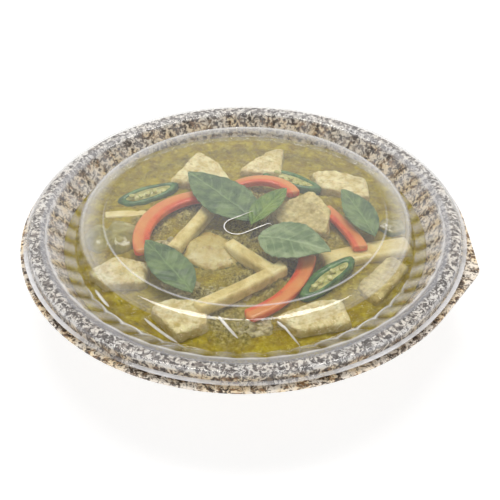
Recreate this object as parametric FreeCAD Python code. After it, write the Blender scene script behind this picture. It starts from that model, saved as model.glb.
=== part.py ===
import FreeCAD, Part
import math
import os

Vector = FreeCAD.Vector
os.makedirs("parts", exist_ok=True)

# A round takeaway bowl of green curry under a clear press-on lid, with a steam vent in the lid.
# Millimetres and degrees. z = 0 is the table, the z axis is the bowl's axis, and the tab points to +X.

# Bowl, one moulded sheet. Radii and heights are those of the middle of the sheet.
BOWL_SHEET = 0.9
FOOT_INNER_RADIUS = 46.5
FOOT_OUTER_RADIUS = 54.0
FLOOR_LIFT = 1.15
FLOOR_SLOPE = 2.5
BELLY_RADIUS = 62.0
BELLY_HEIGHT = 6.0
FILL_RADIUS = 84.5
FILL_HEIGHT = 29.0
RIM_RADIUS = 98.2
RIM_HEIGHT = 39.5
RIM_WIDTH = 5.2
FLANGE_DROP = 5.9
FLANGE_WIDTH = 4.7
RIM_BEND = 1.5
FLOOR_BEND = 2.0
WALL_BEND = 40.0

# Thumb tab on the bowl's flange.
TAB_REACH = 4.9
TAB_END_RADIUS = 9.0

# Lid, one thermoformed sheet.
LID_SHEET = 0.4
LID_SEAT_GAP = 0.05
LID_SKIRT_GAP = 0.35
LID_SKIRT_DEPTH = 3.9
LID_FLANGE_WIDTH = 2.1
LID_BEND = 1.2
CROWN_WIDTH = 8.2
TROUGH_DEPTH = 8.9
TROUGH_RADIUS = 80.4
TROUGH_WIDTH = 2.3
FLUTE_COUNT = 48
FLUTE_DEPTH = 1.3
DOME_RISE = 11.6
DOME_LEAN = 2.7
PANEL_RADIUS = 64.7
PANEL_CROWN = 1.0
DOME_BEND = 1.5
GRIP_COUNT = 24
GRIP_RADIUS = 1.2
GRIP_HEIGHT = 2.4
GRIP_GAP = 0.05

# Steam vent: a tongue cut in the lid's panel on three sides.
VENT_WIDTH = 10.9
VENT_STRAIGHT = 12.2
VENT_HINGE_X = 8.0
VENT_HINGE_Y = -3.3
VENT_DIRECTION = 229.4
VENT_SLIT = 0.5
VENT_HINGE_GAP = 0.03
VENT_HOOK_RADIUS = 1.6

# Food.
SAUCE_LEVEL = 29.5
FOOD_GAP = 0.15
FOOD_ROOM_GAP = 0.3

# Heights that follow from the sizes above.
FOOT_Z = BOWL_SHEET / 2
CROWN_Z = RIM_HEIGHT + BOWL_SHEET / 2 + LID_SEAT_GAP + LID_SHEET / 2
CROWN_TOP = CROWN_Z + LID_SHEET / 2
LID_SKIRT_RADIUS = RIM_RADIUS + BOWL_SHEET / 2 + LID_SKIRT_GAP + LID_SHEET / 2
CROWN_INNER_RADIUS = LID_SKIRT_RADIUS - CROWN_WIDTH
TROUGH_TOP = CROWN_TOP - TROUGH_DEPTH
TROUGH_Z = TROUGH_TOP - LID_SHEET / 2
DOME_BASE_RADIUS = TROUGH_RADIUS - TROUGH_WIDTH
DOME_RADIUS = DOME_BASE_RADIUS - DOME_LEAN
DOME_Z = TROUGH_Z + DOME_RISE
PANEL_Z = DOME_Z + PANEL_CROWN


def offset_path(points, distance):
    """Points of an open path in the r-z plane, moved to its left by distance, with mitred corners."""
    normals = []
    for (r1, z1), (r2, z2) in zip(points, points[1:]):
        length = math.hypot(r2 - r1, z2 - z1)
        normals.append((-(z2 - z1) / length, (r2 - r1) / length))
    moved = []
    for i, (r, z) in enumerate(points):
        before = normals[max(i - 1, 0)]
        after = normals[min(i, len(normals) - 1)]
        scale = distance / (1 + before[0] * after[0] + before[1] * after[1])
        moved.append((r + (before[0] + after[0]) * scale, z + (before[1] + after[1]) * scale))
    return moved


def outline(points, bends):
    """Closed face in the r-z plane. Each corner with a bend radius is an arc tangent to its two sides."""
    corners = [Vector(r, 0, z) for r, z in points]
    count = len(corners)
    cuts = []
    for i, corner in enumerate(corners):
        back = (corners[i - 1] - corner).normalize()
        ahead = (corners[(i + 1) % count] - corner).normalize()
        if bends[i] <= 0:
            cuts.append((corner, None, corner))
            continue
        half = back.getAngle(ahead) / 2
        reach = bends[i] / math.tan(half)
        middle = (back + ahead).normalize() * (bends[i] / math.sin(half) - bends[i])
        cuts.append((corner + back * reach, corner + middle, corner + ahead * reach))
    edges = []
    for i, (start, middle, end) in enumerate(cuts):
        if middle is not None:
            edges.append(arc(start, middle, end))
        edges.append(line(end, cuts[(i + 1) % count][0]))
    return Part.Face(Part.Wire(edges))


def arc(start, middle, end):
    """Circular edge through three points."""
    return Part.Arc(start, middle, end).toShape()


def line(start, end):
    """Straight edge between two points."""
    return Part.LineSegment(start, end).toShape()


def revolve(face):
    """The full turn of a face about the bowl's axis."""
    return face.revolve(Vector(0, 0, 0), Vector(0, 0, 1), 360)


def sheet_ring(points, bends, thickness):
    """A sheet of even thickness, turned about the axis. Bends are the radii of the middle of the sheet."""
    half = thickness / 2
    left = offset_path(points, half)
    right = offset_path(points, -half)
    left_bends, right_bends = [0] * len(points), [0] * len(points)
    for i in range(1, len(points) - 1):
        (r0, z0), (r1, z1), (r2, z2) = points[i - 1:i + 2]
        turn = (r1 - r0) * (z2 - z1) - (z1 - z0) * (r2 - r1)
        inward = half if turn > 0 else -half
        if bends[i] > 0:
            left_bends[i] = bends[i] - inward
            right_bends[i] = bends[i] + inward
    return revolve(outline(left + right[::-1], left_bends + right_bends[::-1]))


def polar(radius, angle, z):
    """Point at a radius and an angle about the axis."""
    turn = math.radians(angle)
    return Vector(radius * math.cos(turn), radius * math.sin(turn), z)


def cylinder(radius, low, high, x=0.0, y=0.0):
    """Upright cylinder between two heights."""
    return Part.makeCylinder(radius, high - low, Vector(x, y, low))


def bowl_path():
    """Middle of the bowl's sheet from the axis out to the flange's edge."""
    rim_inner = RIM_RADIUS - RIM_WIDTH
    flange_z = RIM_HEIGHT - FLANGE_DROP
    return [
        (0, FOOT_Z + FLOOR_LIFT),
        (FOOT_INNER_RADIUS - FLOOR_SLOPE, FOOT_Z + FLOOR_LIFT),
        (FOOT_INNER_RADIUS, FOOT_Z),
        (FOOT_OUTER_RADIUS, FOOT_Z),
        (BELLY_RADIUS, BELLY_HEIGHT),
        (FILL_RADIUS, FILL_HEIGHT),
        (rim_inner, RIM_HEIGHT),
        (RIM_RADIUS, RIM_HEIGHT),
        (RIM_RADIUS, flange_z),
        (RIM_RADIUS + FLANGE_WIDTH, flange_z),
    ]


def tab_plate():
    """Rounded tab on the flange: the hull of the flange's circle and a small circle further out."""
    flange_radius = RIM_RADIUS + FLANGE_WIDTH
    centre = flange_radius + TAB_REACH - TAB_END_RADIUS
    tangent = math.degrees(math.acos((flange_radius - TAB_END_RADIUS) / centre))
    shift = Vector(centre, 0, 0)
    near, far = polar(flange_radius, -tangent, 0), polar(flange_radius, tangent, 0)
    low, high = shift + polar(TAB_END_RADIUS, -tangent, 0), shift + polar(TAB_END_RADIUS, tangent, 0)
    end = arc(low, shift + Vector(TAB_END_RADIUS, 0, 0), high)
    face = Part.Face(Part.Wire([line(near, low), end, line(high, far), line(far, near)]))
    low_z = RIM_HEIGHT - FLANGE_DROP - BOWL_SHEET / 2
    face.translate(Vector(0, 0, low_z))
    plate = face.extrude(Vector(0, 0, BOWL_SHEET))
    return plate.cut(cylinder(RIM_RADIUS, low_z - 1, low_z + BOWL_SHEET + 1))


def make_bowl():
    bends = [0, FLOOR_BEND, FLOOR_BEND, FLOOR_BEND, WALL_BEND, WALL_BEND, RIM_BEND, RIM_BEND, RIM_BEND, 0]
    return sheet_ring(bowl_path(), bends, BOWL_SHEET).fuse(tab_plate()).removeSplitter()


def fluted_block(low_z, low_radius, high_z, high_radius):
    """Solid with a round top outline and a lower outline of arcs that bulge towards the axis."""
    step = 360 / FLUTE_COUNT
    low, high = [], []
    for n in range(FLUTE_COUNT):
        start, middle, end = n * step, (n + 0.5) * step, (n + 1) * step
        bulge = polar(low_radius - FLUTE_DEPTH, middle, low_z)
        crest = polar(high_radius, middle, high_z)
        low.append(arc(polar(low_radius, start, low_z), bulge, polar(low_radius, end, low_z)))
        high.append(arc(polar(high_radius, start, high_z), crest, polar(high_radius, end, high_z)))
    return Part.makeLoft([Part.Wire(low), Part.Wire(high)], True, True)


def vent_tongue(grow, back, low, high):
    """Plate with the tongue's outline, grown by a margin, from a line behind the hinge to its round end."""
    half = VENT_WIDTH / 2 + grow
    straight = VENT_STRAIGHT + back
    bar = Part.makeBox(straight, 2 * half, high - low, Vector(-back, -half, low))
    plate = bar.fuse(cylinder(half, low, high, VENT_STRAIGHT)).removeSplitter()
    return place_vent(plate)


def vent_hook(low, high):
    """Quarter-ring slit that ends one leg of the vent and stops it from tearing."""
    leg_y = VENT_WIDTH / 2 + VENT_SLIT / 2
    centre_y = leg_y + VENT_HOOK_RADIUS
    ring = cylinder(VENT_HOOK_RADIUS + VENT_SLIT / 2, low, high, 0, centre_y)
    ring = ring.cut(cylinder(VENT_HOOK_RADIUS - VENT_SLIT / 2, low - 1, high + 1, 0, centre_y))
    reach = 2 * VENT_HOOK_RADIUS
    quarter = Part.makeBox(reach, reach, high - low, Vector(-reach, centre_y - reach, low))
    return place_vent(ring.common(quarter))


def place_vent(shape):
    """Turns and moves a shape from the hinge's own frame, where the tongue points to +x, to the lid."""
    shape.rotate(Vector(0, 0, 0), Vector(0, 0, 1), VENT_DIRECTION)
    shape.translate(Vector(VENT_HINGE_X, VENT_HINGE_Y, 0))
    return shape


def make_lid():
    run = CROWN_INNER_RADIUS - TROUGH_RADIUS
    slant = math.hypot(run, TROUGH_DEPTH)
    spread = LID_SHEET * slant / TROUGH_DEPTH
    spread_below = spread - LID_SHEET * run / TROUGH_DEPTH
    hollow = fluted_block(TROUGH_TOP, TROUGH_RADIUS, CROWN_TOP, CROWN_INNER_RADIUS)
    trough = fluted_block(
        TROUGH_TOP - LID_SHEET, TROUGH_RADIUS + spread_below, CROWN_TOP, CROWN_INNER_RADIUS + spread
    )
    trough = trough.cut(hollow).cut(cylinder(DOME_BASE_RADIUS, TROUGH_TOP - 1, CROWN_TOP + 1))
    dome_path = [(0, PANEL_Z), (PANEL_RADIUS, PANEL_Z), (DOME_RADIUS, DOME_Z), (DOME_BASE_RADIUS, TROUGH_Z)]
    dome = sheet_ring(dome_path, [0, DOME_BEND, DOME_BEND, 0], LID_SHEET)
    flange_z = CROWN_Z - LID_SKIRT_DEPTH
    rim_path = [
        (CROWN_INNER_RADIUS, CROWN_Z),
        (LID_SKIRT_RADIUS, CROWN_Z),
        (LID_SKIRT_RADIUS, flange_z),
        (LID_SKIRT_RADIUS + LID_FLANGE_WIDTH, flange_z),
    ]
    rim = sheet_ring(rim_path, [0, LID_BEND, LID_BEND / 2, 0], LID_SHEET)
    lid = trough.fuse([dome, rim] + lid_grips(flange_z)).removeSplitter()
    low, high = PANEL_Z - LID_SHEET, PANEL_Z + LID_SHEET
    lid = lid.cut(vent_tongue(VENT_SLIT, VENT_HINGE_GAP, low, high))
    return lid.cut(vent_hook(low, high))


def lid_grips(flange_z):
    """Upright beads inside the lid's skirt that grip the bowl's rim."""
    skirt_inner = LID_SKIRT_RADIUS - LID_SHEET / 2
    tip = RIM_RADIUS + BOWL_SHEET / 2 + GRIP_GAP
    low = flange_z + LID_SHEET / 2
    ring = cylinder(LID_SKIRT_RADIUS, low, low + GRIP_HEIGHT)
    ring = ring.cut(cylinder(tip, low - 1, low + GRIP_HEIGHT + 1))
    beads = []
    for n in range(GRIP_COUNT):
        centre = polar(max(tip + GRIP_RADIUS, skirt_inner), n * 360 / GRIP_COUNT, 0)
        beads.append(cylinder(GRIP_RADIUS, low, low + GRIP_HEIGHT, centre.x, centre.y).common(ring))
    return beads


def make_vent_flap():
    return vent_tongue(0, 0, PANEL_Z - LID_SHEET / 2, PANEL_Z + LID_SHEET / 2)


def food_room():
    """The space that food may fill: inside the bowl's sheet, and under the lid's dome and trough."""
    inside = offset_path(bowl_path()[:7], BOWL_SHEET / 2 + FOOD_ROOM_GAP)
    floor_z, (rim_radius, rim_z) = inside[0][1], inside[6]
    wall = [inside[0], (FOOT_OUTER_RADIUS, floor_z), inside[4], inside[5], inside[6], (0, rim_z)]
    wall_bend = WALL_BEND - BOWL_SHEET / 2 - FOOD_ROOM_GAP
    hollow = revolve(outline(wall, [0, 0, wall_bend, wall_bend, 0, 0]))
    ceiling = TROUGH_Z - LID_SHEET / 2 - FOOD_ROOM_GAP
    dome_path = [(DOME_BASE_RADIUS, TROUGH_Z), (DOME_RADIUS, DOME_Z), (PANEL_RADIUS, PANEL_Z), (0, PANEL_Z)]
    under = offset_path(dome_path, LID_SHEET / 2 + FOOD_ROOM_GAP)
    cover = [(0, floor_z), (rim_radius, floor_z), (rim_radius, ceiling), (under[0][0], ceiling)] + under[1:]
    return hollow.common(revolve(outline(cover, [0] * len(cover))))


def block_outline(length, width, grow):
    x, y = length / 2 + grow, width / 2 + grow
    corners = [Vector(-x, -y, 0), Vector(x, -y, 0), Vector(x, y, 0), Vector(-x, y, 0)]
    return Part.makePolygon(corners + corners[:1])


def round_outline(length, width, grow):
    long_half, short_half = max(length, width) / 2 + grow, min(length, width) / 2 + grow
    return Part.Wire(Part.Ellipse(Vector(0, 0, 0), long_half, short_half).toShape())


def leaf_outline(length, width, grow):
    """Two equal arcs that meet at the leaf's stalk and tip."""
    x, y = length / 2 + grow, width / 2 + grow
    return Part.Wire([arc(Vector(-x, 0, 0), Vector(0, side, 0), Vector(x, 0, 0)) for side in (y, -y)])


def bent_outline(radius, sweep):
    """Outline maker for a strip bent about a centre that lies on its local -x side."""
    def make(length, width, grow):
        half = sweep / 2 + math.degrees(grow / radius)
        shift = Vector(-radius, 0, 0)
        outer, inner = radius + width / 2 + grow, radius - width / 2 - grow
        ends = [(outer, -half), (outer, half), (inner, half), (inner, -half)]
        a, b, c, d = [shift + polar(r, angle, 0) for r, angle in ends]
        outer_side = arc(a, shift + Vector(outer, 0, 0), b)
        inner_side = arc(c, shift + Vector(inner, 0, 0), d)
        return Part.Wire([outer_side, line(b, c), inner_side, line(d, a)])
    return make


# Each piece of food: outline, length, width, top above the sauce, thickness, then where its middle is,
# as a share of the dome's radius and an angle, and the turn of its length from +X.
TOFU, EGGPLANT, MINCE, LEAF = block_outline, round_outline, round_outline, leaf_outline
FOOD = {
    "tofu_back_left": (TOFU, 30, 25, 5.5, 16, 0.67, 130, 60),
    "tofu_back": (TOFU, 24, 18, 4.5, 15, 0.76, 97, 20),
    "tofu_back_right": (TOFU, 29, 17, 4.5, 14, 0.80, 55, -20),
    "tofu_middle": (TOFU, 24, 22, 9.0, 15, 0.38, 38, 35),
    "tofu_front_left": (TOFU, 24, 19, 4.5, 14, 0.84, -134, -10),
    "tofu_front": (TOFU, 24, 20, 5.0, 15, 0.86, -98, -12),
    "tofu_front_right": (TOFU, 27, 17, 4.5, 15, 0.87, -46, 47),
    "tofu_right": (TOFU, 34, 13, 3.0, 12, 0.92, -12, 74),
    "eggplant_left": (EGGPLANT, 30, 22, 3.5, 16, 0.82, -161, -66),
    "eggplant_middle": (EGGPLANT, 31, 18, 4.5, 14, 0.28, -115, -65),
    "eggplant_right": (EGGPLANT, 15, 12, 3.0, 10, 0.91, 21, 15),
    "green_chili_left": (TOFU, 30, 9.5, 3.5, 8, 0.76, 164, 40),
    "green_chili_back": (TOFU, 33, 9.5, 4.5, 7, 0.65, 79, -17),
    "green_chili_right": (TOFU, 34, 9.5, 5.5, 8, 0.66, -26, 63),
    "red_chili_left": (bent_outline(34, 104), 0, 8, 6.5, 4, 0.58, -177, 164),
    "red_chili_back": (bent_outline(18, 104), 0, 7, 7.5, 3, 0.50, 88, 88),
    "red_chili_right": (bent_outline(68, 30), 0, 7, 7.0, 4, 0.61, 17, 40),
    "red_chili_front": (bent_outline(46, 58), 0, 8, 5.0, 4, 0.62, -48, -19),
    "bamboo_right": (TOFU, 38, 11, 4.5, 8, 0.76, 1, 38),
    "bamboo_left": (TOFU, 22, 5.5, 3.0, 5, 0.78, -179, 25),
    "bamboo_middle": (TOFU, 37, 6.5, 7.0, 5, 0.33, -162, 83),
    "bamboo_front": (TOFU, 47, 7, 7.3, 3.5, 0.56, -75, 53),
    "bamboo_low": (TOFU, 30, 7, 7.0, 4, 0.30, -66, -31),
    "mince_left": (MINCE, 17, 12, 4.0, 8, 0.47, -146, 20),
    "mince_right": (MINCE, 16, 12, 5.0, 8, 0.36, -8, 70),
    "mince_front": (MINCE, 18, 13, 3.5, 8, 0.58, -83, 10),
    "mince_front_right": (MINCE, 17, 12, 3.0, 8, 0.84, -70, 30),
    "mince_low": (MINCE, 16, 12, 3.5, 8, 0.60, -112, -20),
    "basil_left": (LEAF, 54, 27, 8.5, 0.6, 0.30, 139, 147),
    "basil_middle": (LEAF, 33, 13, 10.5, 0.6, 0.20, 61, 79),
    "basil_right": (LEAF, 34, 24, 9.3, 0.6, 0.37, -21, -4),
    "basil_front": (LEAF, 42, 18, 8.5, 0.6, 0.61, -120, 138),
    "basil_side": (LEAF, 38, 15, 8.5, 0.6, 0.71, 25, -51),
}


def food_prism(spec, grow):
    """A piece of food as an upright prism in its place, grown by a margin on every side."""
    shape, length, width, top, thickness, share, angle, turn = spec
    low = SAUCE_LEVEL + top - thickness - grow
    prism = Part.Face(shape(length, width, grow)).extrude(Vector(0, 0, thickness + 2 * grow))
    prism.rotate(Vector(0, 0, 0), Vector(0, 0, 1), turn)
    prism.translate(polar(share * DOME_RADIUS, angle, low))
    return prism


def largest(shape):
    """The biggest solid of a shape that a cut may have left in several pieces."""
    return max(shape.Solids, key=lambda solid: solid.Volume)


def make_food():
    """Every piece of food, each kept clear of the ones before it, and the sauce around them all."""
    room = food_room()
    pieces, grown = {}, []
    for name, spec in FOOD.items():
        solid = food_prism(spec, 0).common(room)
        for other in grown:
            if other.BoundBox.intersect(solid.BoundBox):
                solid = solid.cut(other)
        pieces[name] = largest(solid)
        grown.append(food_prism(spec, FOOD_GAP))
    sauce = room.common(cylinder(RIM_RADIUS, 0, SAUCE_LEVEL))
    for spec in FOOD.values():
        prism = food_prism(spec, FOOD_GAP)
        if prism.BoundBox.ZMin < SAUCE_LEVEL:
            sauce = sauce.cut(prism)
    pieces["curry_sauce"] = largest(sauce)
    return pieces


nodes = {"bowl": make_bowl(), "lid": make_lid(), "vent_flap": make_vent_flap()}
nodes.update(make_food())
for name, shape in nodes.items():
    shape.exportStep(f"parts/{name}.step")
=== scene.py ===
import math
import random

import bmesh
import bpy
import numpy as np
from mathutils import Matrix, Vector, noise


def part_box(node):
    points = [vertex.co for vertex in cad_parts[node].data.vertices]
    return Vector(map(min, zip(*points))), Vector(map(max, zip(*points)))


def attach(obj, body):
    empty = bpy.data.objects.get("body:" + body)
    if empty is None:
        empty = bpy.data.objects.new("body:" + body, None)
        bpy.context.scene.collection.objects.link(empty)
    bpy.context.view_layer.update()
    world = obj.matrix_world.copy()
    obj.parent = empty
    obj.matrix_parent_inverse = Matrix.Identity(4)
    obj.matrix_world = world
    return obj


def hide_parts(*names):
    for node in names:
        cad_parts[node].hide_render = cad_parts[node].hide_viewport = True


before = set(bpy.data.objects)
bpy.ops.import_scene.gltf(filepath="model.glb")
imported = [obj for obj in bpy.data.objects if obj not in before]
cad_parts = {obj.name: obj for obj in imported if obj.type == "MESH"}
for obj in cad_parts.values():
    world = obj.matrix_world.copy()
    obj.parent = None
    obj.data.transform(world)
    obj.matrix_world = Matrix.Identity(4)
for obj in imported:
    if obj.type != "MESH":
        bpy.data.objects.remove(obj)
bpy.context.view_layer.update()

# A stone-printed takeaway bowl of green curry under a clear fluted lid.
# Metres in Blender; named sizes below are in millimetres and become metres through MM.
MM = 0.001

# Camera.
CAMERA_AZIMUTH = 17.0
CAMERA_ELEVATION = 39.27
CAMERA_DISTANCE = 450.0
CAMERA_LENS = 70.24
CAMERA_SENSOR = 36.0
AIM_HEIGHT = 40.0
AIM_RIGHT = 2.2
AIM_UP = -15.08

# Lid: radii and heights of the middle of its sheet.
LID_SHEET = 0.4
CROWN_Z = 40.2
SKIRT_RADIUS = 99.2
SKIRT_DEPTH = 3.9
LID_FLANGE_WIDTH = 2.1
CROWN_INNER_RADIUS = 91.0
TROUGH_RADIUS = 80.4
TROUGH_Z = 31.3
FLUTE_COUNT = 48
FLUTE_DEPTH = 1.3
DOME_BASE_RADIUS = 78.1
DOME_RADIUS = 75.4
DOME_Z = 42.9
PANEL_RADIUS = 64.7
PANEL_Z = 43.9
PANEL_DISC_RADIUS = 58.0
VENT_WIDTH = 10.9
VENT_STRAIGHT = 12.2
VENT_HINGE_X = 8.0
VENT_HINGE_Y = -3.3
VENT_DIRECTION = 229.4
VENT_SLIT = 0.5
GRIP_COUNT = 24
GRIP_HEIGHT = 2.4
GRIP_DEPTH = 0.5
GRIP_HALF_WIDTH = 0.9
DOME_SHOULDER = 5.5
RIDGE_WIDTH = 0.7
RIDGE_HEIGHT = 0.06
VENT_HOOK_RADIUS = 1.6
VENT_LIP_WIDTH = 0.58
VENT_LIP_LIFT = 0.12
VENT_STEPS = 24
PROFILE_STEP = 1.1
COLUMNS_PER_FLUTE = 12

# Each highlight stroke on the dome's wall is a line of points given as angle, radius and height. The strokes
# are painted highlights, laid on as thin white strips raised a little like creases.
HIGHLIGHT_STROKES = [
    [(-105.5, 76.8, 37.3), (-93.5, 78.2, 31.6)],
    [(-81.5, 70.8, 43.5), (-78.5, 74.6, 42.1), (-75, 76.8, 37.6)],
    [(-62.8, 73.6, 42.8), (-60.5, 75.7, 40.6), (-56.3, 78.1, 31.6)],
    [(-129, 77.6, 34.0), (-120.5, 78.0, 32.6)],
]
STROKE_WIDTH = 1.4
STROKE_RAISE = 0.15
STROKE_STEPS = 18

# Share of milky white on each part of the lid, where it is strongest. The flap, base and crown shares are
# milky plastic, and the panel's share is milky plastic and a painted reflection of the bright studio. The
# crown lip's share is painted grey shade; the flange, shoulder, flute, flute foot and ridge shares are
# painted highlights; the band's share is a painted reflection.
FLAP_HAZE = 0.014
BASE_HAZE = 0.003
# Milky white of the vent's whitened lip, and of the painted highlight strokes on the dome.
FROSTED_AND_HIGHLIGHT_HAZE = 0.85
PANEL_HAZE_AND_REFLECTION = 0.026
CROWN_HAZE = 0.035
CROWN_LIP_PAINTED_GREY = 0.38
FLANGE_HIGHLIGHT = 0.80
SHOULDER_HIGHLIGHT = 0.22
FLUTE_HIGHLIGHT = 0.27
FLUTE_FOOT_HIGHLIGHT = 0.85
BAND_REFLECTION = 0.50
RIDGE_HIGHLIGHT = 0.26

# The stone print turns from brown on the bowl's wall to grey on its rim between the first two heights: the
# grey is a painted reflection of the clear lid over the rim. Between the last two heights it turns paler from
# the foot of the rim's skirt down: painted light where the flange catches the top light.
RIM_REFLECTION_START = 37.0
RIM_REFLECTION_END = 39.0
FLANGE_LIGHT_START = 35.5
FLANGE_LIGHT_END = 34.5

# Studio sky by height above the horizon, as (sine of the elevation, share of full strength).
# Its dark ring and dark top keep the lid's reflections from veiling the food.
SKY = [
    (0.0, 0.92), (0.28, 0.92), (0.33, 0.30), (0.40, 0.30), (0.47, 0.95), (0.57, 1.0), (0.61, 0.75),
    (0.67, 0.25),
]
SKY_STRENGTH = 1.17
FLOOR_GLOW = 0.80
FLOOR_REACH = 3000.0

# Softboxes: azimuth from behind the bowl, elevation in degrees, distance and size in metres, power in watts.
SOFTBOX_AZIMUTH = 33
SOFTBOX_ELEVATION = 68
SOFTBOX_DISTANCE = 1.1
SOFTBOX_SIZE = (0.40, 0.36)
SOFTBOX_COLOUR = (1.0, 0.98, 0.95)
LEFT_POWER = 4.3
RIGHT_POWER = 4.1

# Curry. Each patch of mash is given as x, y and reach; the wall below the surface as radius and height.
SAUCE_LEVEL = 29.5
SAUCE_RINGS = 110
SAUCE_COLUMNS = 420
SAUCE_WALL = [(70, 15.3), (62, 7.4)]
SAUCE_FLOOR_RADII = (53, 30)
HEAP_RADIUS = 66.0
MASH_PATCHES = [
    (-4, -14, 15), (16, -30, 14), (-2, -52, 13), (34, 0, 11), (-30, 10, 10), (14, -62, 10), (-8, 26, 12),
    (-28, -24, 10), (4, 4, 14), (-44, -8, 9), (30, -22, 9),
]

# Food.
TOFU_HEIGHT = 13.0
EGGPLANT_HEIGHT = 12.0
CHUNK_COLUMNS = 120
RED_STRIP_HALF_HEIGHT = 1.8
SEEDS_PER_SLICE = 5
LEAF_THICKNESS = 0.35
CRUMBS_PER_CLUMP = 26
CLUMP_CORE_HEIGHT = 4.0


# ---- helpers


def mesh_object(name, points, faces, material):
    """New mesh piece from points in millimetres."""
    mesh = bpy.data.meshes.new(name)
    mesh.from_pydata((np.asarray(points, float) * MM).tolist(), [], faces)
    mesh.update()
    mesh.polygons.foreach_set("use_smooth", [True] * len(mesh.polygons))
    mesh.materials.append(material)
    piece = bpy.data.objects.new(name, mesh)
    bpy.context.scene.collection.objects.link(piece)
    return piece


def set_weight(piece, name, values):
    """Gives each point of a piece a number that its material can read."""
    layer = piece.data.attributes.new(name, "FLOAT", "POINT")
    layer.data.foreach_set("value", np.array(values, np.float32))


def carry(piece, body):
    """Lets a piece ride on a body."""
    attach(piece, body)


def circle(count):
    """Angles of a number of points round a circle."""
    return [2 * math.pi * k / count for k in range(count)]


def grid_faces(rows, columns, wrap=True, first=0, flip=False):
    """Quads between rows of points. With wrap, the last column joins the first."""
    faces = []
    last = columns if wrap else columns - 1
    for i in range(rows - 1):
        for j in range(last):
            k = (j + 1) % columns
            quad = [first + i * columns + j, first + i * columns + k,
                    first + (i + 1) * columns + k, first + (i + 1) * columns + j]
            faces.append(quad[::-1] if flip else quad)
    return faces


def bar_faces(rows, sides, flip=False):
    """Skin of a bar whose rows of points go round it, with a cap at each end."""
    first, last = list(range(sides)), list(range((rows - 1) * sides, rows * sides))
    caps = [first, last[::-1]] if flip else [first[::-1], last]
    return grid_faces(rows, sides, flip=flip) + caps


def dish_faces(rows, columns):
    """Skin of a closed body: a top point, rings of points going down, and a bottom point."""
    bottom, last = 1 + rows * columns, 1 + (rows - 1) * columns
    faces = [(0, 1 + j, 1 + (j + 1) % columns) for j in range(columns)]
    faces += [f[::-1] for f in grid_faces(rows, columns, first=1)]
    return faces + [(bottom, last + (j + 1) % columns, last + j) for j in range(columns)]


def square_reach(c, s, power):
    """Reach of a softly squared section in the direction of a cosine and a sine."""
    return (abs(c) ** power + abs(s) ** power) ** (-1 / power)


def fractal(x, y, z, scale, octaves, seed):
    """Smooth noise of about -1 to 1 at a point in millimetres, with features about scale across."""
    place = Vector((x / scale + seed, y / scale - seed, z / scale + 0.37 * seed))
    return noise.fractal(place, 0.9, 2.1, octaves)


def put_on_node(piece, node, lift=0.0):
    """Centres a piece of food over its CAD node, top to top, and lets it stand for that node."""
    low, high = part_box(node)
    points = np.array([v.co for v in piece.data.vertices], float)
    centre = (points.min(0) + points.max(0)) / 2
    shift = Vector(((low.x + high.x) / 2 - centre[0], (low.y + high.y) / 2 - centre[1],
                    high.z + lift * MM - points[:, 2].max()))
    piece.data.transform(Matrix.Translation(shift))
    carry(piece, "bowl")
    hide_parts(node)


def turned(points, angle):
    """Points turned about the z axis by an angle in degrees."""
    c, s = math.cos(math.radians(angle)), math.sin(math.radians(angle))
    points = np.asarray(points, float)
    out = points.copy()
    out[:, 0] = points[:, 0] * c - points[:, 1] * s
    out[:, 1] = points[:, 0] * s + points[:, 1] * c
    return out


# ---- materials


def set_stops(node, stops):
    """Gives a colour ramp its stops of position and rgb."""
    elements = node.color_ramp.elements
    while len(elements) < len(stops):
        elements.new(0.5)
    for element, (position, colour) in zip(elements, stops):
        element.position = position
        element.color = (*colour, 1.0)


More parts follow.
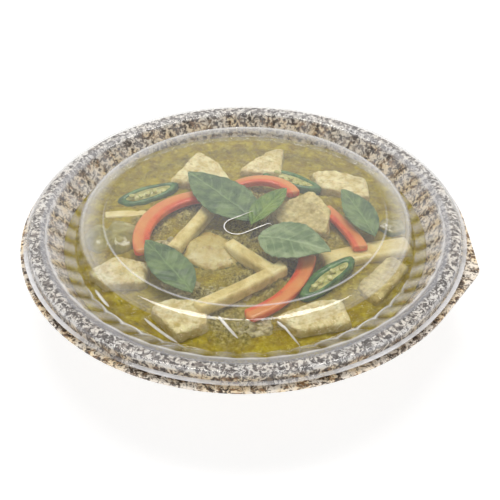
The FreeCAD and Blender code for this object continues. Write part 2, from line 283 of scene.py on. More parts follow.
class Nodes:
    """Short way to build a material's node tree. place is the object coordinates in millimetres."""

    def __init__(self, name):
        self.material = bpy.data.materials.new(name)
        self.material.use_nodes = True
        self.tree = self.material.node_tree
        self.tree.nodes.clear()
        self.output = self.add("ShaderNodeOutputMaterial")
        mapping = self.filled("ShaderNodeMapping", Scale=[1 / MM] * 3)
        self.link(self.add("ShaderNodeTexCoord").outputs["Object"], mapping.inputs["Vector"])
        self.place = mapping.outputs[0]

    def add(self, kind, **settings):
        node = self.tree.nodes.new(kind)
        for key, value in settings.items():
            setattr(node, key, value)
        return node

    def link(self, source, target):
        self.tree.links.new(source, target)

    def feed(self, value, socket):
        """Links an output to a socket, or sets the socket to a number or an rgb colour."""
        if isinstance(value, bpy.types.NodeSocket):
            self.link(value, socket)
        else:
            socket.default_value = value if isinstance(value, (int, float)) else (*value, 1.0)

    def filled(self, kind, **inputs):
        """New node with inputs set by name, with _ for each space."""
        node = self.add(kind)
        for key, value in inputs.items():
            node.inputs[key.replace("_", " ")].default_value = value
        return node

    def principled(self, **inputs):
        shader = self.filled("ShaderNodeBsdfPrincipled", **inputs)
        self.link(shader.outputs[0], self.output.inputs[0])
        return shader

    def noise(self, size, detail=3, rough=0.55, distortion=0.0):
        node = self.filled("ShaderNodeTexNoise", Scale=1.0 / size, Detail=detail, Roughness=rough,
                           Distortion=distortion)
        self.link(self.place, node.inputs["Vector"])
        return node.outputs[0]

    def ramp(self, value, stops):
        node = self.add("ShaderNodeValToRGB")
        set_stops(node, stops)
        self.link(value, node.inputs[0])
        return node.outputs[0]

    def curve(self, value, low, high, to_low=0.0, to_high=1.0):
        """A value moved from one range to another and held within it."""
        node = self.filled("ShaderNodeMapRange", From_Min=low, From_Max=high, To_Min=to_low, To_Max=to_high)
        self.link(value, node.inputs["Value"])
        return node.outputs[0]

    def mix(self, share, first, second):
        """Colour mix. share is a socket or a number; the colours are sockets or rgb."""
        node = self.add("ShaderNodeMix", data_type="RGBA")
        for index, value in ((0, share), (6, first), (7, second)):
            self.feed(value, node.inputs[index])
        return node.outputs[2]

    def math(self, operation, first, second):
        node = self.add("ShaderNodeMath", operation=operation)
        self.feed(first, node.inputs[0])
        self.feed(second, node.inputs[1])
        return node.outputs[0]

    def finished(self, shader, colour, relief, depth):
        """Gives a shader its colour and a relief of some depth, and returns the material."""
        node = self.filled("ShaderNodeBump", Distance=depth * MM)
        self.link(relief, node.inputs["Height"])
        self.link(node.outputs[0], shader.inputs["Normal"])
        self.link(colour, shader.inputs["Base Color"])
        return self.material

    def blend(self, share, first, second):
        """Shader that goes from the first to the second by a share."""
        node = self.add("ShaderNodeMixShader")
        for socket, source in zip(node.inputs, (share, first, second)):
            self.link(source, socket)
        return node.outputs[0]

    def attribute(self, name):
        node = self.add("ShaderNodeAttribute", attribute_name=name)
        return node.outputs["Fac"]


def stone_print():
    """Printed granite: cream blots over dark brown and grey flakes, with painted light: greyer on the rim
    than on the wall, as a painted reflection of the lid over it, and paler on the flange, where it catches
    the top light.
    """
    n = Nodes("stone_print")
    shader = n.principled(Roughness=0.34, IOR=1.48, Coat_Weight=0.12, Coat_Roughness=0.15)
    split = n.add("ShaderNodeSeparateXYZ")
    n.link(n.place, split.inputs[0])
    # Painted reflection: the print turns grey on the rim, under the lid.
    rim = n.math("MULTIPLY", n.curve(split.outputs["Z"], RIM_REFLECTION_START, RIM_REFLECTION_END), 0.7)
    blots = n.noise(2.2, detail=5, rough=0.74, distortion=0.6)
    flakes = n.noise(1.8, detail=4, rough=0.7, distortion=0.5)
    warm = n.curve(n.noise(9.0, detail=2), 0.42, 0.58)
    light = n.mix(rim, n.mix(warm, (0.94, 0.78, 0.54), (0.90, 0.82, 0.71)), (0.82, 0.81, 0.81))
    middle = n.mix(rim, n.mix(warm, (0.33, 0.175, 0.065), (0.27, 0.20, 0.14)), (0.19, 0.185, 0.19))
    dark = n.mix(n.curve(flakes, 0.48, 0.57), (0.030, 0.014, 0.006), middle)
    # Painted light: more cream from the foot of the rim's skirt down, where the flange catches the top light.
    wall = n.math("MULTIPLY", n.curve(split.outputs["Z"], FLANGE_LIGHT_START, FLANGE_LIGHT_END), 0.018)
    colour = n.mix(n.curve(n.math("ADD", blots, wall), 0.496, 0.534), dark, light)
    return n.finished(shader, colour, n.noise(0.8, detail=2), 0.02)


def clear_sheet(name, haze, milk_colour=(0.93, 0.93, 0.95)):
    """Thin clear plastic: see-through, mirrors more at a glancing angle, and milky.

    Its milkiness is haze plus the mesh's haze weight, which on the lid also holds painted highlights and
    painted reflections; the mesh's lip weight turns the milk grey as painted grey shade.
    """
    n = Nodes(name)
    facing = n.filled("ShaderNodeLayerWeight", Blend=0.5)
    steep = n.math("POWER", facing.outputs["Facing"], 4.6)
    mirror = n.math("ADD", n.math("MULTIPLY", steep, 0.95), 0.038)
    grain = n.curve(n.noise(3.0, detail=3), 0.3, 0.7, 0.85, 1.15)
    milky = n.math("MULTIPLY", n.math("ADD", n.attribute("haze"), haze), grain)
    clear = n.filled("ShaderNodeBsdfTransparent", Color=(0.99, 0.99, 0.985, 1))
    milk = n.add("ShaderNodeBsdfDiffuse")
    # The lip weight turns the milk grey: painted grey shade on the crown's lip.
    n.link(n.mix(n.attribute("lip"), milk_colour, (0.44, 0.44, 0.47)), milk.inputs[0])
    gloss = n.filled("ShaderNodeBsdfGlossy", Roughness=0.05)
    body = n.blend(milky, clear.outputs[0], milk.outputs[0])
    n.link(n.blend(mirror, body, gloss.outputs[0]), n.output.inputs[0])
    return n.material


def curry_material():
    """Thick green curry: saturated olive, darker where herbs gather, with pale grains and a low shine."""
    n = Nodes("curry")
    shader = n.principled(Roughness=0.33, IOR=1.38, Specular_IOR_Level=0.12)
    drift = n.noise(6.0, detail=5, rough=0.6, distortion=0.4)
    base = n.ramp(drift, [
        (0.34, (0.235, 0.155, 0.001)), (0.45, (0.31, 0.225, 0.001)), (0.56, (0.39, 0.30, 0.003)),
        (0.70, (0.50, 0.41, 0.02)),
    ])
    herb = n.curve(n.noise(1.7, detail=4, rough=0.75), 0.56, 0.63)
    flecked = n.mix(n.math("MULTIPLY", herb, 0.75), base, (0.12, 0.10, 0.004))
    cream = n.curve(n.noise(1.8, detail=4, rough=0.8, distortion=0.5), 0.55, 0.63)
    pale = n.mix(n.math("MULTIPLY", cream, 0.5), flecked, (0.76, 0.66, 0.11))
    crumb = n.ramp(n.noise(1.6, detail=4, rough=0.7), [
        (0.36, (0.08, 0.064, 0.012)), (0.47, (0.24, 0.20, 0.045)), (0.56, (0.44, 0.38, 0.12)),
        (0.68, (0.72, 0.64, 0.30)),
    ])
    colour = n.mix(n.attribute("mash"), pale, crumb)
    return n.finished(shader, colour, n.noise(1.2, detail=5, rough=0.65), 0.3)


def tofu_material(name, crust, crumb):
    """Soft golden tofu: mottled from crumb to crust, with olive cut sides and small dark pores."""
    n = Nodes(name)
    shader = n.principled(Roughness=0.5, IOR=1.4, Coat_Weight=0.25, Coat_Roughness=0.2, Subsurface_Weight=0.3,
                          Subsurface_Radius=(0.003, 0.002, 0.001), Subsurface_Scale=0.5)
    base = n.ramp(n.noise(5.0, detail=5, rough=0.7), [
        (0.36, crumb), (0.58, crust), (0.75, tuple(min(1.0, c * 1.08 + 0.04) for c in crust)),
    ])
    pores = n.curve(n.noise(2.2, detail=4, rough=0.75), 0.55, 0.63)
    pitted = n.mix(n.math("MULTIPLY", pores, 0.6), base, (0.42, 0.33, 0.06))
    colour = n.mix(n.math("MULTIPLY", n.attribute("side"), 0.4), pitted, (0.40, 0.31, 0.05))
    return n.finished(shader, colour, n.noise(1.8, detail=4, rough=0.65), 0.9)


def leaf_material(name, dark, light):
    """Basil leaf: the vein weight of the mesh lightens the midrib and side veins."""
    n = Nodes(name)
    shader = n.principled(Roughness=0.42, IOR=1.42, Coat_Weight=0.15, Coat_Roughness=0.3,
                          Subsurface_Weight=0.1, Subsurface_Radius=(0.0006, 0.001, 0.0004))
    blotch = n.mix(n.curve(n.noise(6.0, detail=4), 0.40, 0.62), dark, light)
    pale = tuple(min(1.0, c * 1.5 + 0.08) for c in light)
    colour = n.mix(n.math("MULTIPLY", n.attribute("vein"), 0.5), blotch, pale)
    return n.finished(shader, colour, n.noise(0.9, detail=3), 0.2)


def flesh_material(name, stops, size, pore, roughness=0.35, coat=0.25, depth=0.2, pale=None):
    """Moist flesh or skin: a colour ramp over soft noise with fine pores.

    With pale, the mesh's pale weight turns the surface towards that colour.
    """
    n = Nodes(name)
    shader = n.principled(Roughness=roughness, IOR=1.4, Coat_Weight=coat, Coat_Roughness=0.12,
                          Subsurface_Weight=0.2, Subsurface_Radius=(0.002, 0.0012, 0.0006),
                          Subsurface_Scale=0.5)
    base = n.ramp(n.noise(size, detail=4, rough=0.6, distortion=0.4), stops)
    fleck = n.curve(n.noise(pore, detail=3, rough=0.7), 0.56, 0.72)
    shade = tuple(c * 0.55 for c in stops[0][1])
    colour = n.mix(n.math("MULTIPLY", fleck, 0.45), base, shade)
    if pale:
        colour = n.mix(n.attribute("pale"), colour, pale)
    return n.finished(shader, colour, n.noise(pore, detail=3), depth)


def floor_material():
    """Pale seamless paper, lit from below like a light table so that no hard shadow falls on it."""
    n = Nodes("pale_floor")
    shader = n.principled(Roughness=0.9, Specular_IOR_Level=0.1, Emission_Color=(1, 1, 1, 1),
                          Emission_Strength=FLOOR_GLOW)
    tint = n.mix(n.noise(60.0, detail=2), (0.29, 0.29, 0.29), (0.31, 0.31, 0.31))
    n.link(tint, shader.inputs["Base Color"])
    return n.material


# ---- lid


def rounded_profile(corners, bends, step):
    """Points along a path of radius and height, with arcs of the given bends at its corners."""
    points = [np.array(c, float) for c in corners]
    out = [points[0]]
    for i in range(1, len(points) - 1):
        back = points[i - 1] - points[i]
        ahead = points[i + 1] - points[i]
        back, ahead = back / np.linalg.norm(back), ahead / np.linalg.norm(ahead)
        half = math.acos(np.clip(back @ ahead, -1, 1)) / 2
        if bends[i] == 0:
            out.append(points[i])
            continue
        reach = bends[i] / math.tan(half)
        start, end = points[i] + back * reach, points[i] + ahead * reach
        middle = (back + ahead) / np.linalg.norm(back + ahead)
        centre = points[i] + middle * bends[i] / math.sin(half)
        a, b = start - centre, end - centre
        sweep = math.acos(np.clip(a @ b / bends[i] ** 2, -1, 1))
        steps = max(3, int(sweep / math.radians(9)))
        for t in np.linspace(0, 1, steps + 1):
            p = a * math.sin((1 - t) * sweep) / math.sin(sweep) + b * math.sin(t * sweep) / math.sin(sweep)
            out.append(centre + p)
    out.append(points[-1])
    dense = [out[0]]
    for p, q in zip(out, out[1:]):
        pieces = max(1, int(np.linalg.norm(q - p) / step))
        dense += [p + (q - p) * k / pieces for k in range(1, pieces + 1)]
    return np.array(dense)


def flute_share(phase):
    """Bulge towards the axis across one flute: 1 at its middle, 0 at the sharp valleys beside it."""
    return 1 - (2 * phase - 1) ** 2


def lid_profile():
    """The lid's sheet from its flange to the panel's disc, as points of radius and height."""
    flange_z = CROWN_Z - SKIRT_DEPTH
    corners_and_bends = [
        ((SKIRT_RADIUS + LID_FLANGE_WIDTH, flange_z), 0), ((SKIRT_RADIUS, flange_z), 0.6),
        ((SKIRT_RADIUS, CROWN_Z), 1.2), ((CROWN_INNER_RADIUS, CROWN_Z), 1.4),
        ((TROUGH_RADIUS, TROUGH_Z), 0.5), ((DOME_BASE_RADIUS, TROUGH_Z), 0.8),
        ((DOME_RADIUS, DOME_Z), DOME_SHOULDER), ((PANEL_RADIUS + RIDGE_WIDTH, PANEL_Z), 0),
        ((PANEL_RADIUS, PANEL_Z + RIDGE_HEIGHT), 0.5), ((PANEL_RADIUS - RIDGE_WIDTH, PANEL_Z), 0),
        ((PANEL_DISC_RADIUS, PANEL_Z), 0),
    ]
    return rounded_profile(*zip(*corners_and_bends), PROFILE_STEP)


def lid_zones(radii, heights):
    """How far each point of the profile belongs to each part of the lid, from 0 to 1."""
    flange_z = CROWN_Z - SKIRT_DEPTH
    wall = (radii < CROWN_INNER_RADIUS) & (radii > (TROUGH_RADIUS + DOME_BASE_RADIUS) / 2)
    descent = np.clip((CROWN_INNER_RADIUS - radii) / (CROWN_INNER_RADIUS - TROUGH_RADIUS), 0, 1)
    band = (radii > PANEL_RADIUS + RIDGE_WIDTH) & (radii < DOME_RADIUS + 0.7) & (heights > DOME_Z - 2.5)
    lip = np.clip((radii - CROWN_INNER_RADIUS + 0.8) / 0.6, 0, 1) * (radii < CROWN_INNER_RADIUS + 2.1)
    lip = lip * (heights > CROWN_Z - 1.0)
    return {
        "flutes": np.where(wall, descent, 0),
        "grips": ((radii > SKIRT_RADIUS - 0.1) & (heights < flange_z + GRIP_HEIGHT)
                  & (heights > flange_z + 0.3)),
        "band": band * np.clip((radii - PANEL_RADIUS) / (DOME_RADIUS - PANEL_RADIUS), 0, 1) ** 1.3,
        "crown": (heights > CROWN_Z - 0.6) & (radii > CROWN_INNER_RADIUS - 1),
        "ridge": np.abs(radii - PANEL_RADIUS) < RIDGE_WIDTH * 0.6,
        "lip": lip,
        "grey": lip * np.clip((radii - CROWN_INNER_RADIUS) / 0.5, 0, 1),
        "flange": (radii > SKIRT_RADIUS + 0.3) & (heights < flange_z + 0.5),
        "shoulder": np.exp(-(((radii - SKIRT_RADIUS) ** 2 + (heights - CROWN_Z) ** 2) / 0.7)),
        "foot": np.exp(-(((radii - TROUGH_RADIUS) ** 2 + (heights - TROUGH_Z) ** 2) / 0.2)),
        "panel": radii < PANEL_RADIUS + RIDGE_WIDTH,
        "slope": (radii >= PANEL_RADIUS + RIDGE_WIDTH) & (radii < DOME_RADIUS - 1),
    }


def lid_haze_and_painted_light(angle, bulge, zone):
    """Milky white and grey of the lid's sheet along one column of points: a little milky plastic, and mostly
    painted light.

    The haze holds painted highlights on the flange, the shoulder, the flutes' ribs and feet and the panel's
    ridge, and painted reflections on the dome's band and the panel; the grey is painted grey shade on the
    crown's lip. Both are painted uneven round the lid, by the angle from the side that faces away from the
    camera: catch is 1 on that side, and off_front is 0 on the side that faces the camera.
    """
    turn = angle - math.radians(CAMERA_AZIMUTH + 90)
    catch = (0.5 + 0.5 * math.cos(turn)) ** 1.5
    off_front = abs(abs(math.remainder(turn, 2 * math.pi)) - math.pi)
    edge_share = 1 - 0.75 * math.exp(-(off_front / math.radians(14)) ** 2)
    ridge_share = min(1.0, max(0.0, 0.3 - 1.2 * math.cos(turn)))
    near = math.exp(-((off_front - math.radians(38)) / math.radians(17)) ** 2)
    uneven = 0.6 + 0.8 * fractal(40 * math.cos(angle), 40 * math.sin(angle), 0, 16.0, 2, 6.0)
    edges = FLANGE_HIGHLIGHT * zone["flange"] + SHOULDER_HIGHLIGHT * zone["shoulder"]
    haze = (CROWN_HAZE * zone["crown"] + CROWN_LIP_PAINTED_GREY * zone["lip"] * (1 - catch)
            + PANEL_HAZE_AND_REFLECTION * (zone["panel"] + zone["slope"] * (1 - math.sqrt(catch)))
            + np.clip(uneven, 0, 1) * edges * edge_share
            + FLUTE_FOOT_HIGHLIGHT * zone["foot"] * near
            + FLUTE_HIGHLIGHT * bulge ** 2 * zone["flutes"] ** 0.25 * (1 - 0.7 * catch)
            + BAND_REFLECTION * math.sqrt(catch) * zone["band"]
            + RIDGE_HIGHLIGHT * zone["ridge"] * ridge_share)
    return haze, zone["grey"] * (1 - catch)


def make_lid(sheet):
    """The whole lid as one thin sheet: flange, skirt, crown, fluted wall, dome and panel with its slit."""
    profile = lid_profile()
    radii, heights = profile[:, 0], profile[:, 1]
    zone = lid_zones(radii, heights)
    columns = FLUTE_COUNT * COLUMNS_PER_FLUTE
    points = np.zeros((len(profile), columns, 3))
    haze = np.zeros((len(profile), columns))
    lip = np.zeros((len(profile), columns))
    for j, angle in enumerate(circle(columns)):
        bulge = flute_share((j * FLUTE_COUNT / columns) % 1.0)
        grip = (j * GRIP_COUNT / columns) % 1.0
        arc = min(grip, 1 - grip) * 2 * math.pi * SKIRT_RADIUS / GRIP_COUNT
        dent = np.where(zone["grips"], GRIP_DEPTH * math.exp(-(arc / GRIP_HALF_WIDTH) ** 2), 0)
        radius = radii - FLUTE_DEPTH * bulge * np.sqrt(zone["flutes"]) - dent
        points[:, j] = np.stack([radius * math.cos(angle), radius * math.sin(angle), heights], 1)
        haze[:, j], lip[:, j] = lid_haze_and_painted_light(angle, bulge, zone)
    lid = mesh_object("lid_shell", points.reshape(-1, 3), grid_faces(len(profile), columns), sheet)
    add_panel(lid, len(profile), columns)
    added = len(lid.data.vertices) - haze.size
    # Besides the milkiness, the haze weight holds painted highlights and painted reflections; the lip weight
    # is painted grey shade.
    set_weight(lid, "haze", np.append(haze, np.full(added, PANEL_HAZE_AND_REFLECTION)))
    set_weight(lid, "lip", np.append(lip, np.zeros(added)))
    solidify = lid.modifiers.new("sheet", "SOLIDIFY")
    solidify.thickness = LID_SHEET * MM
    solidify.offset = 0
    apply_modifiers(lid)
    lid.data.set_sharp_from_angle(angle=math.radians(38))
    carry(lid, "lid")
    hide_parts("lid")


def vent_arc(half):
    """Half circle round the tip of the vent's tongue, in the tongue's own frame."""
    return [(VENT_STRAIGHT + half * math.cos(a), half * math.sin(a))
            for a in (math.pi * (k / VENT_STEPS - 0.5) for k in range(VENT_STEPS + 1))]


def vent_points(local, z):
    """Points of the tongue's own frame, whose x runs from the hinge to the tip, in the lid's frame."""
    c, s = math.cos(math.radians(VENT_DIRECTION)), math.sin(math.radians(VENT_DIRECTION))
    return [(VENT_HINGE_X + x * c - y * s, VENT_HINGE_Y + x * s + y * c, z) for x, y in local]


def add_panel(lid, rows, columns):
    """Fills the lid's flat panel up to the vent's hole."""
    bm = bmesh.new()
    bm.from_mesh(lid.data)
    bm.verts.ensure_lookup_table()
    ring = [bm.verts[(rows - 1) * columns + j] for j in range(columns)]
    outer = [bm.edges.get(pair) or bm.edges.new(pair) for pair in zip(ring, ring[1:] + ring[:1])]
    half = VENT_WIDTH / 2 + VENT_SLIT
    outline = vent_points([(0, -half)] + vent_arc(half) + [(0, half)], PANEL_Z)
    hole = [bm.verts.new(Vector(point) * MM) for point in outline]
    inner = [bm.edges.new(pair) for pair in zip(hole, hole[1:] + hole[:1])]
    bmesh.ops.triangle_fill(bm, use_beauty=True, use_dissolve=False, edges=outer + inner, normal=(0, 0, 1))
    bmesh.ops.recalc_face_normals(bm, faces=bm.faces)
    for face in bm.faces:
        face.smooth = True
    bm.to_mesh(lid.data)
    bm.free()


def apply_modifiers(piece):
    """Turns a piece's modifiers into its mesh."""
    depsgraph = bpy.context.evaluated_depsgraph_get()
    mesh = bpy.data.meshes.new_from_object(piece.evaluated_get(depsgraph))
    old = piece.data
    piece.modifiers.clear()
    piece.data = mesh
    mesh.name = piece.name
    bpy.data.meshes.remove(old)


def tube(name, path, radius, squash, material, sides=8):
    """Closed bar along a path of points in millimetres: its height is squash of its width, its ends taper."""
    path = np.asarray(path, float)
    count = len(path)
    tangent = np.gradient(path, axis=0)
    tangent /= np.linalg.norm(tangent, axis=1)[:, None]
    side = np.cross(tangent, np.array([0, 0, 1.0]))
    side /= np.linalg.norm(side, axis=1)[:, None]
    lift = np.cross(side, tangent)
    points = []
    for i in range(count):
        scale = min(1.0, 0.25 + 5.0 * min(i, count - 1 - i) / count)
        for a in circle(sides):
            points.append(path[i] + scale * radius * (side[i] * math.cos(a) + lift[i] * squash * math.sin(a)))
    return mesh_object(name, points, bar_faces(count, sides, flip=True), material)


def make_highlight_strokes(frosted_and_highlight):
    """Short slanted strokes on the dome's wall: painted highlights, as thin white strips raised a little like
    creases.
    """
    for k, line in enumerate(HIGHLIGHT_STROKES):
        at = np.linspace(0, len(line) - 1, STROKE_STEPS)
        angle, radius, height = [np.interp(at, range(len(line)), column) for column in zip(*line)]
        angle, radius = np.radians(angle), radius + STROKE_RAISE
        path = np.stack([radius * np.cos(angle), radius * np.sin(angle), height], 1)
        crease = tube(f"lid_highlight_stroke_{k}", path, STROKE_WIDTH / 2, 0.45, frosted_and_highlight)
        carry(crease, "lid")


def make_vent_lip(frosted_and_highlight):
    """Whitened lip of the punched slit, with the small hook at the end of one leg."""
    half = VENT_WIDTH / 2 + VENT_SLIT / 2 + 0.1
    local = [(0.0, -half)] + [(x, -half) for x in np.linspace(1.5, VENT_STRAIGHT - 1, 8)] + vent_arc(half)
    local += [(x, half) for x in np.linspace(VENT_STRAIGHT - 1, 0.0, 9)]
    for a in np.radians(range(15, 91, 15)):
        local.append((-VENT_HOOK_RADIUS * math.sin(a), half + VENT_HOOK_RADIUS * (1 - math.cos(a))))
    path = vent_points(local, PANEL_Z + LID_SHEET / 2 + VENT_LIP_LIFT)
    carry(tube("vent_lip", path, VENT_LIP_WIDTH / 2, 0.6, frosted_and_highlight), "lid")


# ---- curry


def mash_share(x, y):
    """How much of the surface at a point is crumbled mince and mash rather than smooth curry."""
    patch = 0.0
    for place_x, place_y, reach in MASH_PATCHES:
        patch = max(patch, 1.4 - math.hypot(x - place_x, y - place_y) / reach)
    return min(1.0, max(0.0, patch + 0.6 * fractal(x, y, 0, 6.0, 3, 4.4)))


def sauce_height(x, y):
    """Height of the curry's surface: a calm edge, and lumps of mash and mince towards the middle."""
    r = math.hypot(x, y)
    calm = fractal(x, y, 0, 14.0, 3, 3.1) * 0.35 + fractal(x, y, 0, 3.0, 3, 1.7) * 0.18
    heap = max(0.0, 1 - (r / HEAP_RADIUS) ** 4)
    lumps = max(0.0, fractal(x, y, 0, 9.0, 4, 9.2) + 0.25)
    crumbs = fractal(x, y, 0, 2.2, 3, 5.5)
    mash = mash_share(x, y)
    return SAUCE_LEVEL + calm + heap * (lumps * 1.4 + crumbs * 0.25) + mash * (1.2 + 2.0 * crumbs)


def make_sauce(material):
    """Closed body of curry: a detailed top, and the inside of the bowl's wall below it."""
    low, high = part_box("curry_sauce")
    edge, floor_z = high.x / MM, low.z / MM
    turns = [(math.cos(a), math.sin(a)) for a in circle(SAUCE_COLUMNS)]
    points = [(0, 0, sauce_height(0, 0))]
    for k in range(1, SAUCE_RINGS + 1):
        r = edge * k / SAUCE_RINGS
        rise = 0.5 * math.exp(-(edge - r) / 0.8)
        for c, s in turns:
            z = sauce_height(r * c, r * s) if k < SAUCE_RINGS else SAUCE_LEVEL
            points.append((r * c, r * s, z + rise))
    wall = [(edge - 0.5, SAUCE_LEVEL - 1.5)] + SAUCE_WALL + [(r, floor_z) for r in SAUCE_FLOOR_RADII]
    points += [(r * c, r * s, z) for r, z in wall for c, s in turns]
    points.append((0, 0, floor_z))
    sauce = mesh_object("curry_body", points, dish_faces(SAUCE_RINGS + len(wall), SAUCE_COLUMNS), material)
    set_weight(sauce, "mash", [mash_share(x, y) if z > SAUCE_LEVEL - 1 else 0.0 for x, y, z in points])
    carry(sauce, "bowl")
    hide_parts("curry_sauce")


# ---- food


def rounded_block(length, width, height, bend, cells):
    """Points and faces of a block with round edges, about its own centre."""
    index, points, faces = {}, [], []
    half = np.array([length, width, height]) / 2
    core = half - bend

    def vertex(key):
        if key not in index:
            p = np.array([k / cells * 2 - 1 for k in key]) * half
            inner = np.clip(p, -core, core)
            d = p - inner
            n = np.linalg.norm(d)
            index[key] = len(points)
            points.append(inner + (d / n * bend if n > 1e-9 else d))
        return index[key]

    for axis in range(3):
        u, v = [a for a in range(3) if a != axis]
        for side in (0, cells):
            for i in range(cells):
                for j in range(cells):
                    quad = []
                    for di, dj in ((0, 0), (1, 0), (1, 1), (0, 1)):
                        key = [0, 0, 0]
                        key[axis], key[u], key[v] = side, i + di, j + dj
                        quad.append(vertex(tuple(key)))
                    if (side == 0) == (axis != 1):
                        quad = quad[::-1]
                    faces.append(quad)
    return np.array(points), faces


def chunk(outline, height, bend, seed, amount=0.45, fine=0.45, dome=0.25, window=2):
    """Soft block over an outline of corners: rounded edges, a slightly domed top and uneven faces.

    Returns its points, its faces and a weight that is 0 on the top and 1 down the sides.
    """
    columns = CHUNK_COLUMNS
    corners = np.array(outline, float)
    corners -= corners.mean(0)
    reach = np.zeros(columns)
    for j, a in enumerate(circle(columns)):
        d = np.array([math.cos(a), math.sin(a)])
        for p, q in zip(corners, np.roll(corners, -1, 0)):
            m = np.array([[d[0], p[0] - q[0]], [d[1], p[1] - q[1]]])
            if abs(np.linalg.det(m)) > 1e-9:
                t, u = np.linalg.solve(m, p)
                if t > 0 and -1e-9 <= u <= 1 + 1e-9:
                    reach[j] = t
    reach = sum(np.roll(reach, k) for k in range(-window, window + 1)) / (2 * window + 1)
    small = min(reach)
    profile = [(s * (1 - bend / small), dome * (1 - s * s)) for s in np.linspace(0.06, 0.98, 16)]
    profile += [(1 - bend / small * (1 - math.sin(t)), -bend * (1 - math.cos(t)))
                for t in np.linspace(0.15, math.pi / 2, 7)]
    profile += [(1.0 + 0.02 * k, -bend - k * (height - bend) / 7) for k in range(1, 8)] + [(0.6, -height)]
    points, weights = [(0, 0, dome)], [0.0]
    for s, z in profile:
        for out, a in zip(reach, circle(columns)):
            x, y = out * s * math.cos(a), out * s * math.sin(a)
            push = amount * fractal(x, y, z, 9.0, 3, seed) + fine * fractal(x, y, z, 2.4, 3, seed + 2)
            points.append((x + push * math.cos(a) * 0.7, y + push * math.sin(a) * 0.7, z + push * 0.9))
            weights.append(min(1.0, max(0.0, -z / bend - 0.5)))
    points.append((0, 0, -height))
    weights.append(1.0)
    return np.array(points), dish_faces(len(profile), columns), weights


def make_piece(node, points, turn, faces, material, lift=0.0, ending="_piece"):
    """A piece of food, turned about the vertical and put in its CAD node's place."""
    piece = mesh_object(node + ending, turned(points, turn), faces, material)
    put_on_node(piece, node, lift)
    return piece


def make_tofu(node, outline, turn, seed, material, slope):
    """Piece of puffy tofu; slope lifts its top along the piece's own y."""
    points, faces, weights = chunk(outline, TOFU_HEIGHT, 1.2, seed)
    points[:, 2] += slope * points[:, 1] * (points[:, 2] > -4)
    set_weight(make_piece(node, points, turn, faces, material, 0.6), "side", weights)


def make_stick(node, length, width, height, turn, seed, material, lift):
    """Strip of bamboo shoot: softly squared section, a little bent and uneven."""
    count, sides = 60, 28
    points = []
    for i in range(count):
        t = i / (count - 1)
        x = (t - 0.5) * length
        end = min(1.0, math.sqrt(max(0.0, 1 - (abs(2 * t - 1) ** 30))) + 0.55)
        sway = 0.6 * math.sin(math.pi * t + seed)
        w = width / 2 * end * (1 + 0.05 * fractal(x, 0, 0, 9, 2, seed))
        h = height / 2 * end * (1 + 0.05 * fractal(x, 5, 0, 7, 2, seed))
        for a in circle(sides):
            c, s = math.cos(a), math.sin(a)
            square = square_reach(c, s, 5)
            points.append((x, sway + w * c * square, h * s * square + 0.5 * math.sin(2.2 * t + seed)))
    make_piece(node, points, turn, bar_faces(count, sides), material, lift)


def make_red_strip(node, radius, sweep, width, turn, seed, material):
    """Bent strip of red chilli: flat, with a pale cut face up and red skin along its inner side."""
    count, sides = 72, 36
    points, weights = [], []
    for i in range(count):
        t = i / (count - 1)
        a = math.radians((t - 0.5) * sweep)
        end = min(1.0, (1 - abs(2 * t - 1) ** 18) ** 0.5 + 0.2)
        w = width / 2 * end * (0.94 + 0.10 * math.sin(3.1 * t + seed))
        h = RED_STRIP_HALF_HEIGHT * end
        r0 = radius + 0.8 * math.sin(2.7 * t + seed)
        for b in circle(sides):
            c, s = math.cos(b), math.sin(b)
            square = square_reach(c, s, 4.5)
            r = r0 + w * c * square
            points.append((r * math.cos(a), r * math.sin(a), h * s * square + 0.7 * math.sin(2 * t + seed)))
            streak = 0.5 + 0.5 * fractal(r * a * 0.3, r, seed, 2.5, 3, seed)
            outer_part = min(1.0, max(0.0, (c * square + 0.45) / 0.3))
            upper_part = min(1.0, max(0.0, (s * square - 0.5) / 0.4))
            weights.append(outer_part * upper_part * (0.4 + 0.6 * streak))
    piece = make_piece(node, points, turn, bar_faces(count, sides, flip=True), material)
    set_weight(piece, "pale", weights)


def make_green_slice(node, length, width, turn, seed, skin, flesh, shift):
    """Slanted slice of green chilli: a ring of dark skin and pale wall round a seeded hollow.

    shift moves the hollow along the slice's own y.
    """
    columns = 64
    shape = [(1.0, -3.6), (1.05, -1.6), (1.04, -0.4), (0.98, 0.4), (0.86, 0.8), (0.68, 0.75), (0.54, 0.2),
             (0.46, -0.6), (0.32, -0.9)]
    points, rows = [], len(shape)
    for s, z in shape:
        for a in circle(columns):
            wave = 1 + 0.05 * math.sin(3 * a + seed) + 0.03 * math.sin(5 * a)
            x = length / 2 * (1 - (1 - s) * 0.55) * math.cos(a) * wave
            y = width / 2 * s * math.sin(a) * wave + shift * max(0.0, 1 - s)
            points.append((x, y, z + 0.5 * math.sin(a + seed) + 0.04 * x))
    points.append((0, 0, shape[-1][1]))
    faces = grid_faces(rows, columns)
    last = (rows - 1) * columns
    faces += [(last + j, last + (j + 1) % columns, rows * columns) for j in range(columns)]
    faces.append(list(range(columns))[::-1])
    piece = make_piece(node, points, turn, faces, skin)
    piece.data.materials.append(flesh)
    for face in list(piece.data.polygons)[6 * columns:-1]:
        face.material_index = 1
    centre = sum((v.co for v in piece.data.vertices), Vector()) / len(piece.data.vertices)
    top = max(v.co.z for v in piece.data.vertices)
    rng = random.Random(seed)
    for k in range(SEEDS_PER_SLICE):
        seed_points, seed_faces = rounded_block(2.8, 2.2, 1.2, 0.58, 6)
        seed_points = turned(seed_points, rng.uniform(0, 180))
        pip = mesh_object(f"{node}_seed_{k}", seed_points, seed_faces, flesh)
        along = (k - (SEEDS_PER_SLICE - 1) / 2) * length * 0.13
        offset = turned([[along, rng.uniform(-0.12, 0.12) * width, 0]], turn)[0] * MM
        pip.data.transform(Matrix.Translation((centre.x + offset[0], centre.y + offset[1], top - 1.5 * MM)))
        carry(pip, "bowl")


